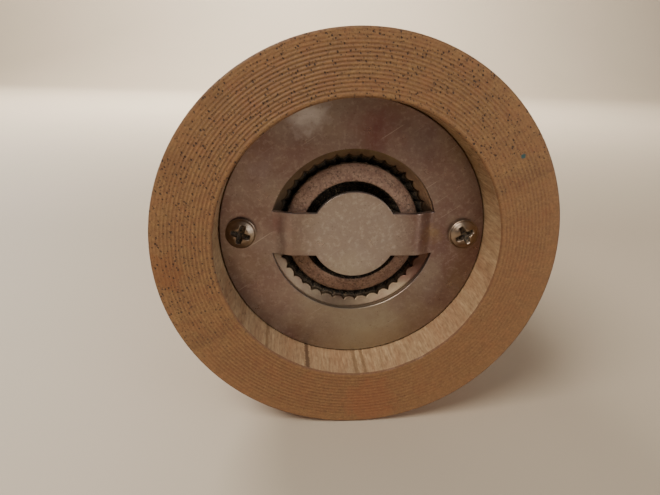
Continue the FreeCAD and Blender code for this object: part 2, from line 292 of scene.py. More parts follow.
class Nodes:
    """A short way to write a material's nodes."""

    def __init__(self, name):
        self.material = bpy.data.materials.new(name)
        self.material.use_nodes = True
        self.tree = self.material.node_tree
        self.bsdf = self.tree.nodes["Principled BSDF"]
        self.place = self.tree.nodes.new("ShaderNodeTexCoord").outputs["Object"]

    def add(self, kind, inputs=None, **settings):
        """A node with some inputs linked or set."""
        node = self.tree.nodes.new("ShaderNode" + kind)
        for key, value in settings.items():
            setattr(node, key, value)
        for key, value in (inputs or {}).items():
            self.put(node.inputs[key], value)
        return node

    def put(self, socket, value):
        """Links or sets one socket."""
        if isinstance(value, bpy.types.NodeSocket):
            self.tree.links.new(value, socket)
        else:
            socket.default_value = value

    def scaled(self, factors, offset=(0, 0, 0)):
        """The object's place, scaled per axis. One unit is a millimetre times the factor."""
        scale = tuple(f / MM for f in factors)
        return self.add("Mapping", {"Vector": self.place, "Scale": scale, "Location": offset}).outputs[0]

    def noise(self, vector, scale=1.0, detail=2.0, rough=0.5, distortion=0.0):
        """Smooth noise, 0 to 1."""
        inputs = {"Vector": vector, "Scale": scale, "Detail": detail, "Roughness": rough}
        inputs["Distortion"] = distortion
        return self.add("TexNoise", inputs).outputs["Fac"]

    def even_noise(self, *settings):
        """Noise of one scale in all directions."""
        return self.noise(self.scaled((1, 1, 1)), *settings)

    def mapped(self, vector, scale):
        """A place scaled per axis."""
        return self.add("Mapping", {"Vector": vector, "Scale": scale}).outputs[0]

    def ramp(self, value, low, high, start=0.0, end=1.0):
        """The value stretched from one range to another and held inside it."""
        inputs = {"Value": value, "From Min": low, "From Max": high, "To Min": start, "To Max": end}
        return self.add("MapRange", inputs).outputs[0]

    def math(self, operation, a, b=0.0):
        """One sum."""
        node = self.add("Math", {0: a, 1: b}, operation=operation)
        return node.outputs[0]

    def mix(self, factor, a, b, blend="MIX"):
        """Two colours mixed."""
        node = self.add("Mix", {0: factor, 6: a, 7: b}, data_type="RGBA", blend_type=blend)
        return node.outputs[2]

    def over(self, base, value, low, high, amount, colour):
        """The base with a colour laid over it, by up to an amount, as the value goes from low to high."""
        return self.mix(self.ramp(value, low, high, 0.0, amount), base, colour)

    def bump(self, height, distance, strength=1.0, normal=None):
        """A bump of a depth in millimetres."""
        inputs = {"Height": height, "Distance": distance * MM, "Strength": strength}
        if normal is not None:
            inputs["Normal"] = normal
        return self.add("Bump", inputs).outputs[0]

    def near(self, x, y, reach, soft):
        """1 near an upright line through (x, y) millimetres, and 0 past its reach, with a ragged edge."""
        flat = self.scaled((1, 1, 0), (-x, -y, 0))
        distance = self.add("VectorMath", {0: flat}, operation="LENGTH").outputs["Value"]
        rough = self.noise(self.scaled((1, 1, 1), (x, y, 0)), 1.6 / reach, 3.0, 0.6)
        ragged = self.ramp(rough, 0.3, 0.7, -0.35, 0.35)
        edge = self.math("ADD", distance, self.math("MULTIPLY", ragged, reach))
        return self.ramp(edge, reach * (1 - soft), reach, 1.0, 0.0)

    def stains_and_painted_light(self, base, patches, soft):
        """The colour with each (x, y, reach, strength, colour) patch laid over it: stains, and on the plate
        also painted highlight, painted reflections and painted shade.
        """
        for x, y, reach, amount, tint in patches:
            share = self.math("MULTIPLY", self.near(x, y, reach, soft), amount)
            base = self.mix(share, base, srgb(*tint))
        return base

    def attribute(self, name):
        """A number painted on the mesh."""
        return self.add("Attribute", attribute_name=name).outputs["Fac"]

    def finish(self, **inputs):
        """Sets or links the shader's own sockets."""
        for key, value in inputs.items():
            self.put(self.bsdf.inputs[key.replace("_", " ")], value)
        return self.material


def srgb(red, green, blue):
    """A linear colour from 0 to 255 screen values."""
    parts = [c / 255 for c in (red, green, blue)]
    return (*[p / 12.92 if p <= 0.04045 else ((p + 0.055) / 1.055) ** 2.4 for p in parts], 1.0)


# ---- wood

BAND_ANGLE = radians(62.0)
BAND_OFFSET = 2.8


def wood_zones(n, turn, light, dark, band):
    """The wood's colour in straight growth zones, and each place's distance across them in millimetres."""
    squash = n.mapped(turn, (1 / MM, 0.25 / MM, 0.02 / MM))
    plain = n.mapped(turn, (1 / MM,) * 3)
    across = n.add("SeparateXYZ", {0: plain}).outputs[0]
    drift = n.ramp(n.noise(squash, 0.09, 2.0, 0.5), 0.0, 1.0, -1.5, 1.5)
    growth = n.math("ADD", across, drift)
    # Two-tone wood: ochre on one side of a dark growth band, redder on the other.
    side = n.ramp(growth, BAND_OFFSET - 1.0, BAND_OFFSET + 5.0)
    base = n.mix(side, light, dark)
    before = n.ramp(growth, BAND_OFFSET - 3.0, BAND_OFFSET, 0.0, 0.75)
    after = n.ramp(growth, BAND_OFFSET, BAND_OFFSET + 0.35, 1.0, 0.0)
    base = n.mix(n.math("MULTIPLY", before, after), base, band)
    # Thin growth lines.
    thin = n.mapped(turn, (0.9 / MM, 0.10 / MM, 0.012 / MM))
    fine = n.noise(thin, 1.0, 4.0, 0.65)
    base = n.over(base, fine, 0.42, 0.72, 0.42, band)
    return base, growth


def wood_speckle(n, base, light, dark, band):
    """Patches of oil and handling, fibre speckle and red patches over the wood's colour."""
    cloud = n.noise(n.scaled((1, 1, 0.35)), 0.16, 3.0, 0.55)
    base = n.over(base, cloud, 0.40, 0.75, 0.40, n.mix(0.5, base, dark))
    speck = n.noise(n.scaled((1, 1, 0.08)), 4.2, 2.0, 0.7)
    base = n.over(base, speck, 0.42, 0.70, 0.75, band)
    pale = n.noise(n.scaled((1, 1, 0.08), (7, 3, 0)), 3.0, 2.0, 0.7)
    base = n.over(base, pale, 0.48, 0.72, 0.60, pale_tone(light))
    ruddy = n.noise(n.scaled((1, 1, 0.15), (9, 2, 5)), 0.38, 4.0, 0.65)
    base = n.over(base, ruddy, 0.42, 0.68, 0.55, n.mix(0.6, dark, srgb(134, 74, 42)))
    patch = n.noise(n.scaled((1, 1, 0.2), (1, 8, 0)), 0.9, 3.0, 0.6)
    return n.over(base, patch, 0.45, 0.75, 0.40, band)


def wood_pores(n, turn, growth, strength, streak):
    """Pores: short dark dots on end grain, long dark streaks along the sides."""
    pores = pore_mask(n, turn, 2.0, 0.16, 0.22, streak)
    small = pore_mask(n, turn, 3.3, 0.20, 0.48, streak)
    many = n.ramp(growth, BAND_OFFSET + 4.0, BAND_OFFSET - 7.0, 0.16, 1.0)
    pore = n.math("MULTIPLY", n.math("MAXIMUM", pores, n.math("MULTIPLY", small, 0.7)), many)
    return n.math("MULTIPLY", pore, strength)


def wood_wear(n, base, light, band, end_grain, marks):
    """Tool marks, mottling, flecks and listed marks over the wood's colour."""
    if end_grain:
        groove = n.attribute("groove")
        base = n.over(base, groove, 0.30, 0.95, 0.48, band)
        base = n.over(base, groove, 0.22, 0.02, 0.30, pale_tone(light))
    mottle = n.ramp(n.noise(n.scaled((1, 1, 0.4), (3, 7, 0)), 0.55, 4.0, 0.7), 0.36, 0.64)
    base = n.mix(n.math("MULTIPLY", mottle, 0.22), base, srgb(112, 70, 44))
    fleck = n.ramp(n.noise(n.scaled((1, 1, 0.3), (5, 1, 0)), 2.1, 3.0, 0.7), 0.40, 0.66)
    base = n.mix(n.math("MULTIPLY", fleck, 0.34), base, srgb(88, 54, 38))
    return n.stains_and_painted_light(base, marks, 0.4)


def wood_material(name, light, dark, band, pore_strength, roughness, streak, end_grain, marks=()):
    """Diffuse-porous hardwood. Its fibres run up the mill and its growth bands cross the foot as zones."""
    n = Nodes(name)
    turn = n.add("VectorRotate", {"Vector": n.place, "Angle": -BAND_ANGLE}, rotation_type="Z_AXIS").outputs[0]
    base, growth = wood_zones(n, turn, light, dark, band)
    base = wood_speckle(n, base, light, dark, band)
    pore = wood_pores(n, turn, growth, pore_strength, streak)
    base = wood_wear(n, base, light, band, end_grain, marks)
    colour = n.mix(pore, base, srgb(48, 26, 12))
    gloss = n.noise(n.scaled((1, 1, 0.2)), 0.8, 3.0, 0.6)
    shine = n.ramp(gloss, 0.3, 0.8, roughness - 0.07, roughness + 0.10)
    fibre_bump = n.bump(n.math("SUBTRACT", 1.0, pore), 0.10, 0.8)
    fibre = n.noise(n.scaled((1, 1, 0.06)), 7.0, 3.0, 0.7)
    normal = n.bump(fibre, 0.035, 0.7, fibre_bump)
    return n.finish(Base_Color=colour, Roughness=shine, Normal=normal)


def pale_tone(colour):
    """A paler version of a wood colour."""
    return tuple(min(1.0, part * 1.35 + 0.01) for part in colour[:3]) + (1.0,)


def pore_mask(n, turn, density, size, seed_keep, streak):
    """Dark dots, a few joined in short rows, with a random part of them left out."""
    scale = (density * 0.72 / MM, density / MM, streak / MM)
    stretched = n.mapped(turn, scale)
    shake = n.add("TexNoise", {"Vector": stretched, "Scale": 1.7, "Detail": 1.0}).outputs["Color"]
    shift = n.add("VectorMath", {0: shake, "Scale": 0.35}, operation="SCALE").outputs[0]
    moved = n.add("VectorMath", {0: stretched, 1: shift}, operation="ADD").outputs[0]
    cells = n.add("TexVoronoi", {"Vector": moved, "Scale": 1.0, "Randomness": 1.0}, feature="F1")
    dot = n.ramp(cells.outputs["Distance"], size, size + 0.10, 1.0, 0.0)
    pick = n.add("SeparateColor", {0: cells.outputs["Color"]}).outputs[0]
    return n.math("MULTIPLY", dot, n.ramp(pick, seed_keep, seed_keep + 0.1))


# Marks on the foot and in its recess: x, y and reach in millimetres, strength and colour.
FOOT_MARKS = (
    (21.9, -13.2, 0.42, 1.0, (44, 76, 74)),
    (-27.0, 4.0, 3.2, 0.45, (120, 70, 34)),
    (-25.0, -11.0, 2.6, 0.35, (104, 68, 38)),
    (3.0, 25.5, 4.5, 0.35, (136, 76, 44)),
    (-19.5, -20.0, 2.4, 0.30, (100, 70, 40)),
)
RECESS_MARKS = (
    (-7.0, 19.2, 0.42, 0.85, (84, 56, 34)),
    (0.6, 20.4, 0.40, 0.6, (104, 74, 44)),
    (1.9, 20.3, 0.30, 0.6, (104, 74, 44)),
    (-13.2, 15.6, 0.35, 0.6, (110, 78, 48)),
)
END_GRAIN = wood_material("wood_end_grain", srgb(138, 103, 60), srgb(128, 89, 53), srgb(90, 60, 34),
                          0.95, 0.62, 0.035, True, FOOT_MARKS)
SIDE_GRAIN = wood_material("wood_side", srgb(160, 112, 66), srgb(146, 96, 56), srgb(110, 70, 40),
                           0.60, 0.42, 0.10, False)
RECESS_WOOD = wood_material("wood_recess", srgb(182, 154, 116), srgb(176, 146, 108), srgb(140, 110, 78),
                            0.60, 0.66, 0.45, False, RECESS_MARKS)
GROOVE_PITCH = 0.52
GROOVE_DEPTH = 0.062


def groove_depth(radius, angle):
    """How deep the lathe's tool marks are at a place on the foot, in millimetres."""
    phase = (radius - RECESS_R) / GROOVE_PITCH
    mark = 0.5 - 0.5 * cos(TAU * phase)
    spot = Vector((radius * cos(angle) * 0.06, radius * sin(angle) * 0.06, 0.3))
    worn = 0.55 + 0.45 * noise.noise(spot * 1.6)
    strong = 0.5 - 0.5 * cos(angle - radians(35))
    inner_fade = smoothstep(RECESS_R, RECESS_R + 0.8, radius)
    outer_fade = 1 - 0.75 * smoothstep(FOOT_R - 2.6, FOOT_R - 0.6, radius)
    fade = inner_fade * outer_fade
    return GROOVE_DEPTH * mark ** 1.2 * fade * (0.16 + 0.84 * strong) * (0.5 + worn)


def make_body():
    """The wooden body with tool marks cut in its foot, in place of the plain CAD solid."""
    rim = 0.3
    foot_rows = 120
    inner_edge = RECESS_R + 0.25
    face = [(inner_edge + (FOOT_R - rim - inner_edge) * k / foot_rows, 0.0) for k in range(foot_rows + 1)]
    edge = arc_points((FOOT_R - rim, 0.0), (FOOT_R - 0.09, 0.09), (FOOT_R, rim), 4)[1:]
    foot_top = arc_points((FOOT_R, 6.0), (28.3, 8.0), (26.3, 9.0), 10)
    quirk = arc_points((26.3, 9.0), (25.4, 9.8), (26.2, 10.8), 8)[1:]
    side = curve_points([(26.2, 10.8), (27.0, 15.0), (25.2, 26.0), (21.5, 42.0), (20.4, 54.0), (21.6, 69.0),
                         (23.6, 84.0), (23.8, 92.0), (23.0, 98.0)], 10)[1:]
    neck = arc_points((23.0, 98.0), (21.9, 98.7), (21.9, 99.2), 6)[1:]
    bead = arc_points((21.9, 99.2), (23.4, 101.3), (21.9, BODY_TOP_Z), 12)[1:]
    seat_z = BODY_TOP_Z - 0.4
    top = [(21.6, BODY_TOP_Z), (21.6, seat_z), (16.5, seat_z), (16.5, BODY_TOP_Z)]
    bore = [(SOCKET_R + 0.3, BODY_TOP_Z), (SOCKET_R, BODY_TOP_Z - 0.3), (SOCKET_R, SOCKET_FLOOR_Z),
            (HOPPER_R, SOCKET_FLOOR_Z - 2.0), (HOPPER_R, 70.0), (HOPPER_R, 45.0), (HOPPER_R, POCKET_TOP_Z),
            (RING_HIGH.x, POCKET_TOP_Z), (RING_HIGH.x, SHOULDER_Z), (RECESS_R, SHOULDER_Z)]
    wall = [(RECESS_R, SHOULDER_Z - (SHOULDER_Z - 0.2) * k / 24) for k in range(1, 25)]
    outline = face + edge + foot_top + quirk + side + neck + bead + top + bore + wall

    def wobble(radius, height, angle):
        if height < 0.01 and radius > RECESS_R:
            return radius, groove_depth(radius, angle)
        if radius == RECESS_R and height < SHOULDER_Z - 0.5:
            ripple = noise.noise(Vector((cos(angle) * 9, sin(angle) * 9, height * 0.4)))
            return radius + 0.05 * (ripple - 0.3), height
        return radius, height

    body = lathe("turned_body", outline, 512, wobble, 40.0)
    stands_for(body, "body", "housing", "wood", SIDE_GRAIN, END_GRAIN, RECESS_WOOD)
    paint(body, "groove", lambda place: place.z / 0.075 if place.z < 0.2 else 0.3)
    for polygon in body.data.polygons:
        place = polygon.center / MM
        radius = hypot(place.x, place.y)
        if place.z < 0.16 and radius > RECESS_R + 0.05:
            polygon.material_index = 1
        elif radius < RECESS_R + 0.3 and place.z < SHOULDER_Z + 0.1:
            polygon.material_index = 2
        elif place.z > BODY_TOP_Z - 0.5 and radius < 21.9:
            polygon.material_index = 1
    return body


def make_head():
    """The wooden head with its spigot."""
    foot = HEAD_LOW.z
    face_z = 104.6
    top = HEAD_HIGH.z
    outline = [(14.4, foot), (14.7, foot + 0.3), (14.7, face_z - 0.3), (15.0, face_z), (21.9, face_z)]
    outline += arc_points((21.9, face_z), (23.4, face_z + 2.1), (21.9, face_z + 4.2), 12)[1:]
    outline += arc_points((21.9, face_z + 4.2), (21.8, face_z + 4.7), (23.0, face_z + 5.4), 6)[1:]
    dome = [(23.0, face_z + 5.4), (24.2, 114.5), (22.9, 122.0), (18.3, 130.0), (13.0, 135.0)]
    outline += curve_points(dome, 10)[1:]
    outline += arc_points((13.0, 135.0), (11.1, 136.8), (10.6, 138.8), 8)[1:]
    outline += arc_points((10.6, 138.8), (11.9, 140.4), (10.4, top), 12)[1:]
    outline += [(9.2, top), (9.1, top - 0.1), (9.1, top - 0.5), (4.5, top - 0.5), (4.5, 120.0), (4.5, foot)]
    head = lathe("turned_head", outline, 320, None, 40.0)
    stands_for(head, "head", "head_assembly", "wood", SIDE_GRAIN, END_GRAIN)
    paint(head, "groove", lambda place: 0.3)
    for polygon in head.data.polygons:
        if polygon.center.z / MM < foot + 0.2 or abs(polygon.center.z / MM - face_z) < 0.15:
            polygon.material_index = 1
    return head


# ---- metals

def metal_material(name, colour, stain, roughness, stain_amount=0.5, grain=(1, 1, 1), grain_depth=0.01,
                   metallic=1.0):
    """Plated or bare metal with cloudy tarnish, dust and fine grain."""
    n = Nodes(name)
    cloud = n.even_noise(0.35, 4.0, 0.6, 0.3)
    base = n.mix(n.ramp(cloud, 0.38, 0.72, 0.0, stain_amount), colour, stain)
    dust = n.noise(n.scaled((1, 1, 1), (3, 9, 1)), 4.0, 3.0, 0.7)
    base = n.over(base, dust, 0.55, 0.85, 0.35, stain)
    gloss = n.noise(n.scaled((1, 1, 1), (1, 5, 2)), 1.3, 4.0, 0.6)
    shine = n.ramp(gloss, 0.3, 0.75, roughness - 0.06, roughness + 0.12)
    fine = n.noise(n.scaled(grain), 9.0, 3.0, 0.7)
    normal = n.bump(fine, grain_depth, 0.6)
    return n.finish(Base_Color=base, Roughness=shine, Normal=normal, Metallic=metallic)


# Tarnish stains, a painted highlight, painted reflections and painted shade on the plate: x, y and reach in
# millimetres, strength and colour.
TARNISH_AND_PAINTED_LIGHT = (
    # Purple-red tarnish at the top right, darkened there as painted shade.
    (3.2, -15.8, 5.0, 0.50, (116, 62, 66)),
    (10.5, -14.5, 4.5, 0.30, (104, 84, 92)),
    # Painted reflections at the strap's bends: crimson at the left bend, yellowish at the right bend.
    (-11.6, -1.6, 2.2, 0.50, (104, 56, 58)),
    (12.1, 0.0, 2.0, 0.45, (156, 130, 88)),
    (0.5, 5.0, 3.8, 0.25, (206, 194, 184)),
    # Painted highlight at the top left, and its bluish painted glow below it.
    (-7.3, -17.3, 3.4, 0.62, (222, 216, 214)),
    (-13.5, -9.5, 3.5, 0.20, (160, 152, 158)),
    # Painted reflection: pale over the lower part of the plate.
    (3.0, 18.0, 15.0, 0.75, (182, 172, 146)),
    (19.0, 3.0, 5.0, 0.20, (150, 126, 116)),
    # Painted reflection: pale at the plate's lower left.
    (-12.0, 11.0, 8.0, 0.25, (170, 150, 132)),
)


def plate_material():
    """Tarnished satin nickel: clouds, stains, a painted highlight, painted reflections and painted shade,
    pale spots on the disc and a few fine scratches.
    """
    n = Nodes("tarnished_nickel")
    clouds = n.even_noise(0.11, 4.0, 0.6, 0.6)
    base = n.mix(n.ramp(clouds, 0.36, 0.66), srgb(144, 126, 116), srgb(128, 102, 94))
    violet = n.noise(n.scaled((1, 1, 1), (11, 4, 0)), 0.14, 3.0, 0.55, 0.4)
    base = n.over(base, violet, 0.50, 0.72, 0.45, srgb(118, 86, 84))
    olive = n.noise(n.scaled((1, 1, 1), (2, 17, 0)), 0.12, 3.0, 0.55)
    base = n.over(base, olive, 0.50, 0.75, 0.45, srgb(140, 122, 96))
    spots = n.noise(n.scaled((1, 1, 1), (5, 1, 3)), 1.4, 4.0, 0.7)
    flat = n.mapped(n.place, (1 / MM, 1 / MM, 0))
    radius = n.add("VectorMath", {0: flat}, operation="LENGTH").outputs["Value"]
    rubbed = n.ramp(radius, 5.5, 9.0, 1.0, 0.0)
    base = n.mix(n.math("MULTIPLY", rubbed, 0.85), base, srgb(168, 154, 144))
    pale = n.math("MULTIPLY", n.ramp(spots, 0.50, 0.75), n.ramp(rubbed, 0.0, 1.0, 0.30, 0.75))
    base = n.mix(pale, base, srgb(198, 186, 174))
    # Tarnish stains together with the painted highlight, painted reflections and painted shade.
    base = n.stains_and_painted_light(base, TARNISH_AND_PAINTED_LIGHT, 1.0)
    specks = n.even_noise(3.4, 2.0, 0.7)
    base = n.over(base, specks, 0.62, 0.75, 0.45, srgb(84, 66, 56))
    shine = n.ramp(n.noise(n.scaled((1, 1, 1), (4, 4, 4)), 0.5, 4.0, 0.6), 0.3, 0.75, 0.27, 0.42)
    slant = n.add("VectorRotate", {"Vector": n.place, "Angle": 0.6}, rotation_type="Z_AXIS").outputs[0]
    thin = n.mapped(slant, (0.12 / MM, 5.0 / MM, 1 / MM))
    lines = n.ramp(n.noise(thin, 1.0, 1.0, 0.4, 0.3), 0.74, 0.78)
    base = n.mix(n.math("MULTIPLY", lines, 0.35), base, srgb(200, 188, 176))
    wave = n.even_noise(0.13, 2.0, 0.5)
    normal = n.bump(wave, 0.30, 0.55)
    fine = n.even_noise(5.0, 3.0, 0.7)
    normal = n.bump(fine, 0.008, 0.6, normal)
    return n.finish(Base_Color=base, Roughness=shine, Normal=normal, Metallic=0.88)


def burr_face_material():
    """Bare granular iron, pinkish brown with pale and dark grains."""
    n = Nodes("granular_iron")
    coarse = n.even_noise(0.5, 3.0, 0.6)
    base = n.mix(n.ramp(coarse, 0.35, 0.7), srgb(146, 116, 96), srgb(124, 92, 76))
    cells = {"Vector": n.scaled((1, 1, 1)), "Scale": 4.2, "Randomness": 1.0}
    grain = n.add("TexVoronoi", cells, feature="F1")
    pick = n.add("SeparateColor", {0: grain.outputs["Color"]}).outputs[0]
    base = n.over(base, pick, 0.7, 1.0, 0.55, srgb(160, 132, 106))
    base = n.over(base, pick, 0.3, 0.0, 0.6, srgb(64, 46, 36))
    pits = n.ramp(n.noise(n.scaled((1, 1, 1), (2, 2, 2)), 3.0, 3.0, 0.7), 0.60, 0.72)
    base = n.mix(n.math("MULTIPLY", pits, 0.75), base, srgb(46, 34, 26))
    normal = n.bump(grain.outputs["Distance"], 0.06, 0.9)
    normal = n.bump(n.math("SUBTRACT", 1.0, pits), 0.06, 0.8, normal)
    return n.finish(Base_Color=base, Roughness=0.62, Normal=normal, Metallic=0.2)


def burr_dark_material(name, colour, shade, roughness, patches=()):
    """Old steel with dark dirt wherever the mesh's painted dirt is high."""
    n = Nodes(name)
    dirt = n.attribute("dirt")
    rough_dirt = n.math("ADD", dirt, n.ramp(n.even_noise(1.6, 4.0, 0.7), 0.3, 0.8, -0.25, 0.25))
    cloud = n.even_noise(0.3, 3.0, 0.6)
    metal = n.mix(n.ramp(cloud, 0.38, 0.7), colour, shade)
    crumbs = n.ramp(n.noise(n.scaled((1, 1, 1), (6, 2, 4)), 3.2, 3.0, 0.7), 0.52, 0.68)
    metal = n.stains_and_painted_light(metal, patches, 0.6)
    grime = n.mix(crumbs, srgb(40, 33, 25), srgb(132, 110, 80))
    base = n.mix(n.ramp(rough_dirt, 0.2, 0.8), metal, grime)
    gloss = n.ramp(rough_dirt, 0.2, 0.8, roughness, 0.85)
    fine = n.even_noise(7.0, 3.0, 0.7)
    normal = n.bump(fine, 0.02, 0.7)
    metallic = n.ramp(rough_dirt, 0.2, 0.8, 1.0, 0.0)
    return n.finish(Base_Color=base, Roughness=gloss, Normal=normal, Metallic=metallic)


NICKEL = plate_material()
BURR_FACE = burr_face_material()
CHAMFER_STAINS = (
    (11.5, 5.5, 4.4, 0.6, (118, 76, 68)),
    (0.0, -12.5, 9.0, 0.3, (128, 108, 78)),
)
BURR_STEEL = burr_dark_material("burr_steel", srgb(132, 114, 92), srgb(110, 88, 74), 0.44, CHAMFER_STAINS)
BURR_TEETH = burr_dark_material("burr_teeth", srgb(112, 96, 80), srgb(90, 70, 56), 0.45)
SCREW_STEEL = burr_dark_material("screw_steel", srgb(162, 144, 124), srgb(122, 102, 86), 0.34)
BRIGHT_NICKEL = metal_material("bright_nickel", srgb(216, 210, 202), srgb(186, 176, 162), 0.14, 0.35,
                               (1, 1, 1), 0.003)
GLIDE_METAL = metal_material("glide_nickel", srgb(198, 190, 180), srgb(160, 148, 132), 0.24, 0.5,
                             (1, 1, 6), 0.006)
ZINC_STEEL = metal_material("zinc_steel", srgb(186, 184, 180), srgb(140, 134, 124), 0.32, 0.6,
                            (1, 1, 0.2), 0.01)
SPRING_STEEL = metal_material("spring_steel", srgb(140, 140, 142), srgb(100, 92, 84), 0.28, 0.5,
                              (1, 1, 1), 0.006)
BRASS = metal_material("turned_brass", srgb(206, 170, 98), srgb(160, 122, 66), 0.30, 0.5,
                       (1, 1, 5), 0.008)
NYLON = metal_material("natural_nylon", srgb(226, 222, 208), srgb(206, 198, 178), 0.5, 0.4,
                       (1, 1, 1), 0.01, 0.0)


# ---- the plate, screws and burrs

def window_outline(side):
    """One half window: the round edge of the opening, the strap's edge and the disc's edge."""
    strap_angle = asin(STRAP_HALF / WINDOW_R)
    disc_angle = asin(STRAP_HALF / DISC_R)
    steps = 96
    outer = [strap_angle + (pi - 2 * strap_angle) * k / steps for k in range(steps + 1)]
    points = [(WINDOW_R * cos(a), WINDOW_R * sin(a)) for a in outer]
    root = points[-1]
    disc_start = (-DISC_R * cos(disc_angle), STRAP_HALF)
    strap = [(root[0] + (disc_start[0] - root[0]) * k / 30, STRAP_HALF) for k in range(1, 30)]
    inner = [pi - disc_angle - (pi - 2 * disc_angle) * k / 56 for k in range(57)]
    disc = [(DISC_R * cos(a), DISC_R * sin(a)) for a in inner]
    back = [(-x, y) for x, y in reversed(strap)]
    return [(x, side * y) for x, y in points + strap + disc + back]


def strap_lift(x):
    """How far the strap stands out of the plate at a place along it, in millimetres."""
    ramp_out = WINDOW_R - 0.30
    return (PLATE_FACE_Z - STRAP_FACE_Z) * (1 - smoothstep(ramp_out - 3.3, ramp_out, abs(x)))


def make_plate():
    """The retaining plate: a flat sheet with two half windows, its strap pressed outwards."""
    holes = [circle_outline(SCREW_HOLE_R, 40, side * SCREW_CIRCLE) for side in (1, -1)]
    outlines = [circle_outline(PLATE_R, 320), window_outline(1), window_outline(-1)] + holes
    plate = sheet_piece("retaining_plate_sheet", outlines, PLATE_FACE_Z, SHEET, 0.09)
    work = bmesh.new()
    work.from_mesh(plate.data)
    cuts = 34
    for k in range(cuts + 1):
        for side in (1, -1):
            x = side * (WINDOW_R - 0.2 - 3.5 * k / cuts)
            everything = work.verts[:] + work.edges[:] + work.faces[:]
            bmesh.ops.bisect_plane(work, geom=everything, dist=1e-7,
                                   plane_co=(x * MM, 0, 0), plane_no=(1, 0, 0))
    for vert in work.verts:
        x, y = vert.co.x / MM, vert.co.y / MM
        inside = hypot(x, y) < WINDOW_R - 0.12 or abs(y) < STRAP_HALF - 0.05
        if inside and abs(x) < WINDOW_R:
            vert.co.z -= strap_lift(x) * MM
    for face in work.faces:
        face.smooth = False
    work.to_mesh(plate.data)
    work.free()
    return stands_for(plate, "retaining_plate", "housing", "nickel_plate", NICKEL)


SCREW_HEAD_R = 2.3
SCREW_SHANK_R = 1.45
SCREW_HEAD_HEIGHT = 1.5
SCREW_RINGS = 44
SCREW_AROUND = 144


def cross_share(u, v):
    """1 inside the screw head's cross recess and 0 outside, at a place on the head."""
    cross = 0.0
    for along, beside in ((u, v), (v, u)):
        width = 0.40 - 0.07 * abs(along)
        across = 1 - smoothstep(width - 0.10, width + 0.12, abs(beside))
        cross = max(cross, across * (1 - smoothstep(1.25, 1.55, abs(along))))
    return cross


def screw_head(x, turn, seat_z):
    """The points of one screw's head and how dirty each is."""
    points = []
    dirt = []
    for i in range(SCREW_RINGS + 1):
        r = SCREW_HEAD_R * (i / SCREW_RINGS) ** 0.9
        slope = 0.55 * smoothstep(0.9, SCREW_HEAD_R, r) ** 1.2
        dome = SCREW_HEAD_HEIGHT - slope - 0.28 * smoothstep(SCREW_HEAD_R * 0.86, SCREW_HEAD_R, r)
        for j in range(SCREW_AROUND):
            a = TAU * j / SCREW_AROUND
            cross = cross_share(r * cos(a - turn), r * sin(a - turn))
            depth = cross * (0.45 + 0.45 * (1 - smoothstep(0.2, 1.4, r)))
            points.append((x + r * cos(a), r * sin(a), seat_z - dome + depth))
            dirt.append(0.8 * cross + 0.25 * smoothstep(SCREW_HEAD_R * 0.8, SCREW_HEAD_R, r))
    return points, dirt


def screw_mesh(name, places, seat_z):
    """Pan-head cross-recess screws from (x, turn in degrees) for each."""
    tip_z = seat_z + SCREW_LENGTH
    shank = [(SCREW_HEAD_R, seat_z), (SCREW_SHANK_R, seat_z), (SCREW_SHANK_R, tip_z - 2.5), (0.15, tip_z)]
    points = []
    faces = []
    dirt = []
    for x, degrees in places:
        first = len(points)
        head_points, head_dirt = screw_head(x, radians(degrees), seat_z)
        points += head_points
        dirt += head_dirt
        for radius, height in shank:
            for j in range(SCREW_AROUND):
                a = TAU * j / SCREW_AROUND
                points.append((x + radius * cos(a), radius * sin(a), height))
                dirt.append(0.3)
        rows = SCREW_RINGS + 1 + len(shank)
        faces += band_faces(rows, SCREW_AROUND, first)
        faces.append(ring_face(rows - 1, SCREW_AROUND, first))
    obj = link_mesh(name, points, faces)
    layer = obj.data.attributes.new("dirt", "FLOAT", "POINT")
    layer.data.foreach_set("value", dirt)
    tidy_mesh(obj.data, 50.0)
    return obj


TEETH = 40
NOTCH_DEPTH = 0.32
FLUTES = 10
BURR_GROOVES = 36
BURR_GROOVE_DEPTH = 0.42
SPIRALS = 6
COARSE_DEPTH = 1.3
MOUTH_R = 11.4
MOUTH_Z = 8.9
THROAT_R = 9.4
THROAT_Z = 13.0
SLOPE = (MOUTH_R - THROAT_R) / (THROAT_Z - MOUTH_Z)


def tooth_notch(angle, teeth, depth):
    """Depth below the crest of broad rounded teeth with narrow notches between them."""
    part = abs(2 * ((angle * teeth / TAU) % 1.0) - 1)
    return depth * (1 - part) ** 2.6


def tooth_groove(angle, teeth, depth, share=0.42):
    """Depth of the rounded groove between two teeth at an angle."""
    part = (angle * teeth / TAU) % 1.0
    reach = abs(part - 0.5) / share
    return depth * sqrt(max(0.0, 1 - reach * reach))


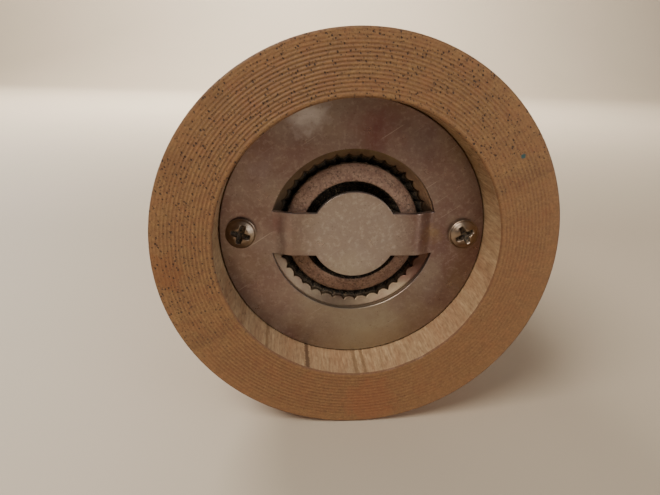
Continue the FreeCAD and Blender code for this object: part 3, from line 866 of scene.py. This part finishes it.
def make_burr_ring():
    """The fixed burr: chamfered mouth, forty rounded teeth and coarse flutes above."""
    heights = [SHOULDER_Z + 0.06 * k for k in range(1, 26)] + [9.7, 10.1, 10.6, 11.2, 11.9, 12.5, THROAT_Z]
    heights += [THROAT_Z + 0.5 + 0.6 * k for k in range(10)]
    inner = []
    for z in heights:
        if z <= THROAT_Z:
            crest = MOUTH_R - SLOPE * (z - MOUTH_Z)
            chamfer = WINDOW_R - 0.05 - 1.5 * (z - SHOULDER_Z)
            inner.append((max(crest, chamfer), z))
        else:
            share = (z - THROAT_Z) / (RING_HIGH.z - THROAT_Z)
            inner.append((THROAT_R + (HOPPER_R - THROAT_R) * share, z))
    outline = [(RING_HIGH.x, RING_HIGH.z), (RING_HIGH.x, SHOULDER_Z), (WINDOW_R + 0.05, SHOULDER_Z)]
    outline += inner + [(HOPPER_R, RING_HIGH.z)]
    inner_heights = set(heights)

    def wobble(radius, height, angle):
        if height not in inner_heights or radius > HOPPER_R:
            return radius, height
        crest = MOUTH_R - SLOPE * (height - MOUTH_Z)
        if height <= THROAT_Z:
            uneven = 0.04 * sin(angle * 7 + 1.0) + 0.04 * sin(angle * 13)
            valley = crest + tooth_notch(angle, TEETH, NOTCH_DEPTH + uneven)
            return max(radius, valley), height
        share = smoothstep(THROAT_Z, THROAT_Z + 2.5, height)
        fine = tooth_notch(angle, TEETH, NOTCH_DEPTH) * (1 - share)
        return radius + fine + tooth_groove(angle, FLUTES, COARSE_DEPTH, 0.3) * share, height

    ring = lathe("toothed_ring", outline, TEETH * 18, wobble, 38.0)
    stands_for(ring, "burr_ring", "housing", "burr_steel", BURR_STEEL)
    paint(ring, "dirt", ring_dirt)
    return ring


def ring_dirt(place):
    """Dirt grows from the clean chamfer into the teeth."""
    radius = hypot(place.x, place.y)
    deep = smoothstep(MOUTH_Z - 0.05, MOUTH_Z + 0.7, place.z)
    edge = smoothstep(MOUTH_R + 0.95, WINDOW_R, radius) * 0.15
    return min(1.0, deep + edge)


def make_male_burr():
    """The turning burr: a granular ring face, fine teeth, crushing spirals and a hollow underneath."""
    gap = 0.62
    teeth_z = 9.3
    hub_r = 5.2
    cone_z = 19.4
    web_z = 12.4
    teeth_r = MOUTH_R - SLOPE * (teeth_z - MOUTH_Z) - gap
    top_r = THROAT_R - gap
    face = [(8.0 + 2.15 * k / 14, BURR_LOW.z + 1.0 * (k / 14) ** 1.4) for k in range(15)]
    flank = [(10.32, 8.8), (teeth_r - 0.04, teeth_z - 0.25)]
    teeth = [(teeth_r + (top_r - teeth_r) * k / 12, teeth_z + (THROAT_Z - teeth_z) * k / 12)
             for k in range(13)]
    cone = [(top_r + (hub_r - top_r) * k / 16, THROAT_Z + (cone_z - THROAT_Z) * k / 16) for k in range(1, 17)]
    hub = [(hub_r, BURR_HIGH.z), (3.65, BURR_HIGH.z), (3.65, web_z)]
    cup = [(4.8, web_z), (7.3, web_z - 1.4), (7.75, BURR_LOW.z + 0.25), (7.85, BURR_LOW.z + 0.06)]
    outline = face + flank + teeth + cone + hub + cup

    def wobble(radius, height, angle):
        if height < 8.75:
            rough = noise.noise(Vector((cos(angle), sin(angle), 0)) * radius * 1.9)
            return radius, height + 0.07 * rough
        if radius < 5.25 or height <= 8.85:
            return radius, height
        if height <= THROAT_Z + 0.01:
            fade = smoothstep(8.8, 9.6, height)
            groove = tooth_groove(angle + height * 0.02, BURR_GROOVES, BURR_GROOVE_DEPTH)
            return radius - groove * fade, height
        spin = angle + (height - THROAT_Z) * 0.16
        fade = smoothstep(THROAT_Z, THROAT_Z + 2, height)
        return radius - tooth_groove(spin, SPIRALS, COARSE_DEPTH, 0.32) * fade, height

    burr = lathe("turning_burr", outline, 720, wobble, 42.0)
    stands_for(burr, "male_burr", "spindle", "sintered_iron", BURR_FACE, BURR_TEETH)
    paint(burr, "dirt", burr_dirt)
    for polygon in burr.data.polygons:
        place = polygon.center / MM
        radius = hypot(place.x, place.y)
        if place.z > 8.72 or radius < 7.84:
            polygon.material_index = 1
    return burr


def burr_dirt(place):
    """The hollow and the flank are dark with old grounds."""
    radius = hypot(place.x, place.y)
    if radius < 7.9:
        return 0.95
    return smoothstep(8.6, 9.2, place.z) * (1 - 0.4 * smoothstep(THROAT_Z, THROAT_Z + 4, place.z))


# ---- shaft, spring, knob and small turned pieces

def make_shaft():
    """The square shaft with its round foot, clip groove and cut thread.

    Each row is a height, a radius and a kind: 0 round, 1 square, 2 threaded.
    """
    half = 2.5
    square_low = 12.4
    square_top = 138.0
    pitch = 0.8
    around = 64
    rows = [(SHAFT_LOW.z, 1.9, 0), (SHAFT_LOW.z + 0.4, 2.4, 0), (11.45, 2.4, 0), (11.5, 1.9, 0),
            (12.35, 1.9, 0), (square_low, 1.95, 0), (square_low + 0.02, half, 1), (square_top - 0.3, half, 1),
            (square_top, half - 0.25, 1), (square_top + 0.02, 2.0, 0)]
    z = square_top + 0.3
    while z < SHAFT_HIGH.z - 0.45:
        rows.append((z, 2.45, 2))
        z += pitch / 10
    rows += [(SHAFT_HIGH.z - 0.4, 2.2, 0), (SHAFT_HIGH.z, 1.7, 0)]
    points = []
    for height, radius, kind in rows:
        for j in range(around):
            a = TAU * j / around
            r = radius
            if kind == 1:
                flat = radius / max(abs(cos(a)), abs(sin(a)))
                r = min(flat, radius * 1.385)
            if kind == 2:
                phase = (height / pitch - a / TAU) % 1.0
                r = radius - 0.42 * smoothstep(0.08, 0.5, abs(phase - 0.5) * 2 * 0.58)
            points.append((r * cos(a), r * sin(a), height))
    count = len(rows)
    faces = band_faces(count, around) + [ring_face(0, around), ring_face(count - 1, around)]
    shaft = make_object("square_shaft", points, faces, 30.0)
    return stands_for(shaft, "drive_shaft", "spindle", "plated_steel", ZINC_STEEL)


def make_spring():
    """The compression spring with closed end coils, stretching between the seat and the burr."""
    wire = 0.45
    mean = 4.9
    low = SPRING_LOW.z + wire
    high = SPRING_HIGH.z - wire
    turns = 7.0
    steps = 480
    around = 12
    points = []
    for i in range(steps + 1):
        t = i / steps
        turn = turns * t
        steady = min(max((turn - 0.8) / (turns - 1.6), 0), 1)
        climb = smoothstep(0.5, turns - 0.5, turn) * 0.6 + 0.4 * steady
        z = low + (high - low) * climb
        a = TAU * turn
        for j in range(around):
            b = TAU * j / around
            r = mean + wire * cos(b)
            points.append((r * cos(a), r * sin(a), z + wire * sin(b)))
    faces = band_faces(steps + 1, around) + [ring_face(0, around), ring_face(steps, around)]
    spring = make_object("burr_spring", points, faces, 50.0)
    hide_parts("spring")
    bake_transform(spring)
    spring.data.materials.append(SPRING_STEEL)
    return spring


def make_knob():
    """The knob: a polished ball on a fluted collar."""
    low = KNOB_LOW.z
    top = KNOB_HIGH.z
    ball = 8.4
    centre = top - ball
    neck = 4.9
    neck_drop = sqrt(ball ** 2 - neck ** 2)
    start = asin(-neck_drop / ball)
    angles = [start + (pi / 2 - start) * k / 40 for k in range(1, 40)]
    sphere = [(ball * cos(a), centre + ball * sin(a)) for a in angles]
    bore = [(0.15, low + 13.75), (2.6, low + 12.6), (2.6, low + 3.6), (4.0, low + 3.6)]
    collar = [(4.0, low), (5.9, low), (6.25, low + 0.12), (6.4, low + 0.45), (6.4, low + 1.0),
              (6.4, low + 1.9), (6.25, low + 2.2), (5.9, low + 2.4), (5.3, low + 2.6)]
    cove = curve_points([(5.3, low + 2.6), (4.95, low + 2.75), (4.85, centre - neck_drop)], 4)[1:]
    outline = bore + collar + cove + sphere + [(0.15, top - 0.001)]

    def wobble(radius, height, angle):
        if radius > 6.3 and height < low + 2.0:
            return radius - 0.16 * (0.5 - 0.5 * cos(angle * 48)), height
        return radius, height

    knob = lathe("grind_knob", outline, 288, wobble, 32.0, True)
    return stands_for(knob, "knob", "knob_assembly", "bright_nickel", BRIGHT_NICKEL)


def ring_outline(outer, inner, low, high, edge):
    """The outline of a flat ring with rounded edges."""
    return rounded([(inner, low), (outer, low), (outer, high), (inner, high)], edge)


def make_small_rings():
    """The glide ring and the cap washer, with rounded edges."""
    glide = lathe("glide_band", ring_outline(21.6, 16.5, GLIDE_LOW.z, GLIDE_HIGH.z, 0.25), 256)
    stands_for(glide, "glide_ring", "housing", "nickel_plate", GLIDE_METAL)
    cap = lathe("knob_washer", ring_outline(9.0, 2.8, CAP_LOW.z, CAP_HIGH.z, 0.25), 192)
    stands_for(cap, "cap_washer", "head_assembly", "nickel_plate", GLIDE_METAL)


def square_outline(half):
    """A square hole."""
    return [(half, half), (-half, half), (-half, -half), (half, -half)]


def make_sheet_parts():
    """The pieces cut from sheet: driving plate, spring washer and spring seat."""
    holes = [circle_outline(SCREW_HOLE_R, 32, side * DRIVE_SCREW_X) for side in (1, -1)]
    thick = DRIVE_HIGH.z - DRIVE_LOW.z
    outlines = [circle_outline(DRIVE_HIGH.x, 160), square_outline(2.62)] + holes
    plate = sheet_piece("driving_plate", outlines, DRIVE_LOW.z, thick, 0.12)
    stands_for(plate, "drive_plate", "head_assembly", "plated_steel", ZINC_STEEL)
    washers = (("burr_washer", "spring_washer", "spindle"), ("upper_seat", "spring_seat", "spring_carrier"))
    for name, node, body in washers:
        low, high = node_box(node)
        outlines = [circle_outline(high.x, 96), square_outline(2.6)]
        piece = sheet_piece(name, outlines, low.z, high.z - low.z, 0.1)
        stands_for(piece, node, body, "plated_steel", ZINC_STEEL)


def dress_cad_nodes():
    """Materials for the CAD pieces that keep their own shape."""
    finishes = {"ring_pins": ZINC_STEEL, "spring_bridge": ZINC_STEEL, "shaft_bush": BRASS,
                "burr_clip": SPRING_STEEL, "knob_liner": NYLON}
    for node, material in finishes.items():
        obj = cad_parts[node]
        obj.data.materials.clear()
        obj.data.materials.append(material)


# ---- camera, light and floor

VIEW_PITCH = radians(19.1)
VIEW_YAW = radians(-4.68)
VIEW_OFFSET = Vector((0.1423, 0.0013, 2.6409)) * FOOT_R
LENS = 29.73
SENSOR = 36.0


def make_camera():
    """Looks up at the foot of the mill as it lies on its side. Right is +X and down is about +Y."""
    tilt = Matrix.Rotation(VIEW_YAW, 3, "Y") @ Matrix.Rotation(VIEW_PITCH, 3, "X")
    place = -(tilt.transposed() @ VIEW_OFFSET) * MM
    right, down, ahead = (tilt.transposed() @ Vector(axis) for axis in ((1, 0, 0), (0, 1, 0), (0, 0, 1)))
    turn = Matrix((right, -down, -ahead)).transposed()
    data = bpy.data.cameras.new("camera")
    data.sensor_width = SENSOR
    data.lens = LENS
    data.clip_start = 0.002
    data.clip_end = 20.0
    camera = bpy.data.objects.new("camera", data)
    camera.matrix_world = Matrix.Translation(place) @ turn.to_4x4()
    link(camera)
    bpy.context.scene.camera = camera


def floor_material(name, colour):
    """A plain pale surface that is seen from its front only."""
    n = Nodes(name)
    soft = n.even_noise(0.01, 2.0, 0.5)
    base = n.mix(n.ramp(soft, 0.3, 0.7), colour, tuple(c * 0.97 for c in colour[:3]) + (1.0,))
    n.finish(Base_Color=base, Roughness=0.6)
    back = n.add("NewGeometry").outputs["Backfacing"]
    clear = n.add("BsdfTransparent")
    mix = n.add("MixShader", {0: back, 1: n.bsdf.outputs[0], 2: clear.outputs[0]})
    n.tree.links.new(mix.outputs[0], n.tree.nodes["Material Output"].inputs["Surface"])
    return n.material


def stage_piece(name, points, faces, material):
    """A smooth sheet of the stage, not part of the object. Faces with many corners stay flat."""
    obj = link_mesh(name, points, faces)
    for polygon in obj.data.polygons:
        polygon.use_smooth = len(polygon.vertices) == 4
    obj.data.materials.append(material)
    return obj


def stage_grid(name, rows, half_width, material):
    """A sheet swept along X from (y, z) rows, its front to the left of the way they run."""
    points = [(side * half_width, y, z) for y, z in rows for side in (-1, 1)]
    faces = [(2 * i, 2 * i + 1, 2 * i + 3, 2 * i + 2) for i in range(len(rows) - 1)]
    return stage_piece(name, points, faces, material)


TOUCH_Y = FOOT_R + 0.02


def stage_bowl(name, rows, material, around=96):
    """A round floor that curves up into a wall, from (radius, z) rows, its front inside."""
    angles = [TAU * k / around for k in range(around)]
    points = [(r * cos(a), r * sin(a), z) for r, z in rows for a in angles]
    outward = band_faces(len(rows), around)
    faces = [ring_face(0, around)] + [(a, d, c, b) for a, b, c, d in outward]
    return stage_piece(name, points, faces, material)


def make_stage():
    """The table that the lying mill touches with its foot's side, and the floor it stands on upright."""
    pale = floor_material("pale_table", srgb(180, 164, 142))
    reach = 900.0
    bend = 300.0
    rows = [(TOUCH_Y, -600.0), (TOUCH_Y, 0.0), (TOUCH_Y, reach)]
    turns = [pi / 2 * k / 12 for k in range(1, 13)]
    rows += [(TOUCH_Y - bend * (1 - cos(a)), reach + bend * sin(a)) for a in turns]
    rows.append((TOUCH_Y - 2500.0, reach + bend))
    table = stage_grid("table", rows, 2500.0, pale)
    # A dark card below the lights stands in for shade: the camera can't see it, and the foot's face shows it
    # as a dark reflection.
    shade = Nodes("grey_card")
    shade.finish(Base_Color=srgb(66, 54, 50), Roughness=0.9)
    card = stage_grid("card", [(-900.0, -640.0), (TOUCH_Y, -640.0)], 900.0, shade.material)
    card.visible_camera = False
    flat_r = 800.0
    curve_r = 500.0
    floor_z = -0.05
    angles = [pi / 2 * k / 16 for k in range(17)]
    sweep = [(flat_r + curve_r * sin(a), floor_z + curve_r * (1 - cos(a))) for a in angles]
    floor = stage_bowl("floor", sweep + [(flat_r + curve_r, 1600.0)], pale)
    table.visible_shadow = False
    floor.visible_shadow = False
    floor.visible_diffuse = False
    floor.visible_glossy = False
    floor.visible_transmission = False


def area_light(name, place, target, size, power, colour=(1.0, 0.97, 0.92)):
    """A soft square light, places in millimetres."""
    data = bpy.data.lights.new(name, "AREA")
    data.size = size * MM
    data.energy = power
    data.color = colour
    obj = bpy.data.objects.new(name, data)
    obj.location = Vector(place) * MM
    way = (Vector(target) - Vector(place)).normalized()
    obj.rotation_euler = way.to_track_quat("-Z", "Y").to_euler()
    link(obj)
    return obj


def make_lights():
    """Soft light for the foot, from its upper left, and for the standing mill, from above."""
    area_light("foot_key", (-260, -420, -260), (0, 0, 0), 260, 3.2)
    area_light("foot_fill", (420, -160, -360), (0, 0, 5), 300, 1.0, (0.94, 0.97, 1.0))
    area_light("backdrop", (0, -520, 520), (0, 0, 1200), 400, 20.0)
    area_light("upper_key", (-420, -520, 620), (0, 0, 80), 380, 7.0)
    area_light("upper_back", (460, 520, 520), (0, 0, 80), 420, 6.0, (0.95, 0.97, 1.0))
    world = bpy.data.worlds.new("pale_room")
    bpy.context.scene.world = world
    world.use_nodes = True
    background = world.node_tree.nodes["Background"]
    background.inputs["Color"].default_value = (0.86, 0.88, 0.90, 1.0)
    background.inputs["Strength"].default_value = 0.45


make_camera()
make_stage()
make_lights()
make_body()
make_head()
make_plate()
stands_for(screw_mesh("foot_screws", [(-SCREW_CIRCLE, 17.0), (SCREW_CIRCLE, -30.0)], PLATE_FACE_Z),
           "plate_screws", "housing", "screw_steel", SCREW_STEEL)
stands_for(screw_mesh("spigot_screws", [(-DRIVE_SCREW_X, -20.0), (DRIVE_SCREW_X, 20.0)], DRIVE_LOW.z),
           "drive_screws", "head_assembly", "screw_steel", SCREW_STEEL)
make_burr_ring()
make_male_burr()
make_shaft()
make_spring()
make_knob()
make_small_rings()
make_sheet_parts()
dress_cad_nodes()
